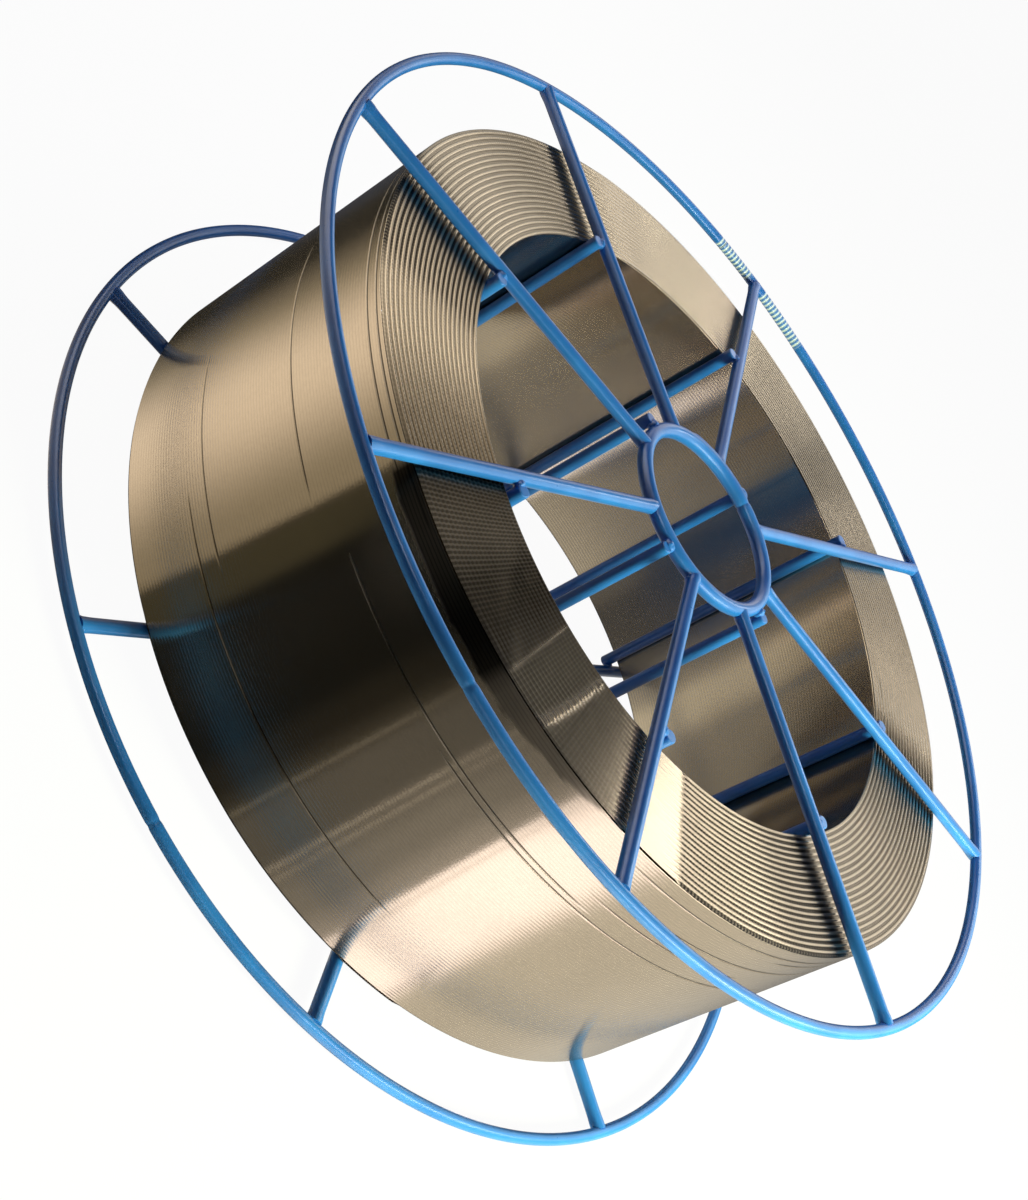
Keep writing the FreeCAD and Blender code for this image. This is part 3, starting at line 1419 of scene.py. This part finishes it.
@dataclass
class Drum:
    """Drum of boards that only the spool's mirrored rays meet."""

    name: str
    boards: Sequence[Board]
    radius: float
    bottom: float
    top: float
    narrow: float
    flare: float
    facing: float = 42.0
    steps: int = 96
    eye: float = 0.001

    @classmethod
    def room(cls) -> "Drum":
        """Drum round the whole spool: dark behind the camera, bright on the lit side.

        Returns:
            The drum.
        """
        boards = [
            Board(-200.0, 290.0, (1.25, 1.23, 1.16), 0.1, 0.1, low=0.1, high=0.33),
            Board(-95.0, 52.0, (0.03, 0.028, 0.022), 14.0, 4.0),
            Board(-74.0, 1.0, (0.42, 0.37, 0.28), 25.0, 2.0),
            Board(-59.0, -4.0, (1.2, 1.06, 0.9), 24.0, 28.0),
            Board(-101.0, -78.0, (0.3, 0.29, 0.27), 6.0, 6.0, low=0.12, high=0.4),
            Board(-90.0, -26.0, (2.9, 2.7, 2.4), 16.0, 20.0, low=0.08, high=0.6),
            Board(-142.0, -124.0, (1.6, 1.55, 1.45), 5.0, 6.0, low=0.1, high=0.38),
            Board(-126.0, -108.0, (0.72, 0.7, 0.66), 6.0, 5.0, low=0.1, high=0.33),
            Board(1.0, 12.0, (0.075, 0.07, 0.045), 0.5, 3.0, high=0.2),
            Board(8.0, 41.5, (0.014, 0.014, 0.012), 5.0, 6.0, high=0.2),
            Board(43.0, 52.0, (0.075, 0.07, 0.055), 6.0, 2.0, high=0.08),
            Board(48.9, 49.5, (0.5, 0.48, 0.42), 0.2, 0.2, high=0.08),
            Board(50.0, 84.0, (0.155, 0.15, 0.135), 1.0, 0.2, high=0.08),
            Board(62.0, 84.0, (0.33, 0.32, 0.3), 8.0, 0.2, high=0.08),
            Board(73.0, 84.0, (0.5, 0.48, 0.46), 6.0, 0.2, high=0.08),
            Board(62.1, 62.9, (0.8, 0.76, 0.7), 0.2, 0.2, high=0.08),
            Board(64.5, 65.2, (0.7, 0.66, 0.6), 0.2, 0.2, high=0.08),
            Board(100.0, 222.0, (1.75, 1.72, 1.62), 0.5, 16.0, low=0.1, high=0.6),
            Board(100.0, 207.0, (0.88, 0.86, 0.78), 0.5, 65.0, high=0.1),
            Board(108.0, 172.0, (1.6, 1.55, 1.45), 0.5, 30.0, low=0.08, high=0.6),
            Board(213.0, 225.3, (7.0, 6.8, 6.4), 0.4, 0.4, low=0.3, high=0.5, soft_height=0.04),
            Board(-158.0, -138.0, (3.2, 3.1, 2.85), 6.0, 6.0, low=0.16, high=0.3),
            Board(-2.0, 26.0, (7.0, 7.0, 7.0), 6.0, 6.0, low=0.36, high=0.6),
            Board(81.4, 110.0, (2.3, 2.16, 2.28), 0.4, 0.5, lean=40.0, high=0.14),
            Board(103.0, 126.0, (2.8, 2.4, 2.6), 0.4, 0.5, low=0.06, high=0.7),
            Board(86.0, 165.0, (15.0, 15.2, 13.6), 8.0, 12.0, low=0.2, high=0.34),
            Board(83.2, 83.9, (0.9, 0.86, 0.82), 0.2, 0.2, high=0.0),
        ]
        return cls("room_drum", boards, radius=0.4, bottom=-0.7, top=0.95, narrow=0.9, flare=2.2)

    @classmethod
    def under_bore(cls) -> "Drum":
        """Drum under the floor that only the coil's bore looks down into.

        Returns:
            The drum.
        """
        floor_ring = {"high": -0.121, "soft_height": 0.006}
        boards = [
            Board(-200.0, 290.0, (0.35, 0.34, 0.31), 0.1, 0.1),
            Board(-62.0, -28.0, (0.8, 0.77, 0.66), 16.0, 8.0),
            Board(-29.0, 46.0, (0.18, 0.18, 0.18), 10.0, 8.0),
            Board(-15.0, 34.0, (0.07, 0.075, 0.085), 8.0, 10.0),
            Board(97.0, 107.5, (2.1, 2.1, 2.4), 0.5, 0.5),
            Board(108.0, 121.0, (0.2, 0.19, 0.18), 0.5, 8.0),
            Board(170.0, 290.0, (0.74, 0.71, 0.62), 14.0, 1.0),
            Board(-200.0, 290.0, (1.0, 0.98, 0.92), 0.1, 0.1, **floor_ring),
            Board(-70.0, 104.0, (1.1, 1.08, 1.0), 10.0, 10.0, **floor_ring),
            Board(-26.0, 50.0, (0.12, 0.12, 0.12), 8.0, 8.0, **floor_ring),
            Board(100.0, 222.0, (0.06, 0.06, 0.06), 20.0, 12.0, **floor_ring),
        ]
        return cls("bore_drum", boards, radius=0.125, bottom=-0.2, top=-0.001, narrow=1.0,
                   flare=0.0)

    def build(self) -> None:
        """Stand the drum round the spool, its top open where it lies under the floor."""
        turns = np.linspace(0, 2 * math.pi, self.steps, endpoint=False)
        profile = [(self.eye, self.bottom), (self.radius, self.bottom), (self.radius, self.top)]
        if self.top > 0:
            profile.append((self.eye, self.top))
        points = [(radius * math.cos(turn), radius * math.sin(turn), height)
                  for radius, height in profile for turn in turns]
        faces = grid_faces(len(profile), self.steps, close_columns=True)
        mesh = bpy.data.meshes.new(self.name)
        mesh.from_pydata(points, [], faces.tolist())
        mesh.materials.append(DrumFinish(self.name, self.facing, self.boards,
                                         self.narrow, self.flare).make())
        drum = add_object(self.name, mesh)
        drum.rotation_euler = (0.0, 0.0, math.radians(self.facing))
        drum.visible_camera = False
        drum.visible_diffuse = False
        drum.visible_transmission = False
        drum.visible_shadow = False


@dataclass(frozen=True)
class Lamp:
    """Soft lamp aimed at the spool, whose light the boards give to mirrored rays in its place.

    Its azimuth and elevation are in degrees, its distance and sides in metres.
    """

    name: str
    azimuth: float
    elevation: float
    distance: float
    sides: Span
    watts: float
    colour: Colour = (1.0, 1.0, 1.0)
    aim: tuple[float, float, float] = (0.0, 0.0, 0.05)

    def build(self) -> None:
        """Hang the lamp."""
        data = bpy.data.lights.new(self.name, "AREA")
        data.shape = "RECTANGLE"
        data.size, data.size_y = self.sides
        data.energy = self.watts
        data.color = self.colour
        lamp = add_object(self.name, data)
        turn, rise = math.radians(self.azimuth), math.radians(self.elevation)
        out = Vector((math.cos(rise) * math.cos(turn), math.cos(rise) * math.sin(turn),
                      math.sin(rise)))
        lamp.location = Vector(self.aim) + out * self.distance
        lamp.rotation_euler = out.to_track_quat("Z", "Y").to_euler()
        lamp.visible_camera = False
        lamp.visible_glossy = False


@dataclass
class Studio:
    """White room with soft lamps, two reflector drums and a pale floor."""

    floor_side: float = 12.0
    ambient: Colour = (0.06, 0.067, 0.08)
    white: Colour = (0.958, 0.958, 0.958)
    lamps: Sequence[Lamp] = (
        Lamp("overhead_lamp", 222.0, 58.0, 0.55, (0.3, 0.3), 1.6),
        Lamp("side_lamp", 118.0, 22.0, 0.44, (0.14, 0.14), 4.6, (0.95, 1.04, 0.6)),
        Lamp("low_lamp", 94.0, -3.0, 0.33, (0.1, 0.04), 0.36, (1.0, 1.03, 0.5)))

    def floor(self) -> None:
        """Lay the floor under the spool."""
        side = self.floor_side / 2
        mesh = bpy.data.meshes.new("floor")
        mesh.from_pydata([(-side, -side, 0), (side, -side, 0), (side, side, 0),
                          (-side, side, 0)], [], [(0, 1, 2, 3)])
        mesh.materials.append(FloorFinish().make())
        floor = add_object("floor", mesh)
        floor.visible_glossy = False

    def world(self) -> None:
        """Set the room's light, white to camera, mirror and glass rays."""
        room = bpy.data.worlds.new("white_room")
        bpy.context.scene.world = room
        room.use_nodes = True
        board = ShaderBoard(room.node_tree)
        colour = board.blend(board.seen(), self.ambient, self.white)
        board.close(board.node("ShaderNodeBackground", {}, {"Color": colour, "Strength": 1.0}),
                    "ShaderNodeOutputWorld")

    def build(self) -> None:
        """Set up the whole studio."""
        self.floor()
        Drum.room().build()
        Drum.under_bore().build()
        for lamp in self.lamps:
            lamp.build()
        self.world()


@dataclass(frozen=True)
class PhotoCamera:
    """Camera at the photograph's viewing angle, its focal length and shift in photo pixels."""

    location: tuple[float, float, float] = (0.3577, 0.32406, 0.31505)
    right: tuple[float, float, float] = (-0.61553, 0.08195, 0.78385)
    down: tuple[float, float, float] = (-0.41825, 0.809, -0.41301)
    long_side: float = 1200.0
    focal_length: float = 1858.14
    shift: Span = (-101.11, 4.41)
    sensor: float = 36.0
    reach: Span = (0.01, 50.0)

    def build(self) -> None:
        """Set the camera up and make it the scene's own."""
        data = bpy.data.cameras.new("photo_camera")
        data.sensor_width = self.sensor
        data.lens = self.sensor * (self.focal_length / self.long_side)
        data.shift_x, data.shift_y = (offset / self.long_side for offset in self.shift)
        data.clip_start, data.clip_end = self.reach
        camera = add_object("photo_camera", data)
        right, down = Vector(self.right), Vector(self.down)
        axes = Matrix((right, -down, right.cross(-down))).transposed().to_4x4()
        camera.matrix_world = Matrix.Translation(self.location) @ axes
        bpy.context.scene.camera = camera


def main() -> None:
    """Build the spool, its coil and the studio."""
    logging.basicConfig(level=logging.INFO, format="%(name)s %(message)s")
    size = SpoolSize()
    coat = PowderCoat().make()
    pieces = [Flange.front(size).build(coat), Flange.rear(size).build(coat)]
    pieces += UprightBars.barrel(size).build(coat)
    pieces += UprightBars.hub(size).build(coat)
    walls, ends = BrightWire(), BrightWire("ridged_wire", roughness=0.22, beaded=True)
    pieces += WireCoil(size).build(walls.make(), ends.make())
    for piece in pieces:
        log.info("%s: %d faces", piece.name, len(piece.data.polygons))
    Studio().build()
    PhotoCamera().build()
    bpy.context.scene.view_settings.view_transform = "Standard"


if __name__ == "__main__":
    main()
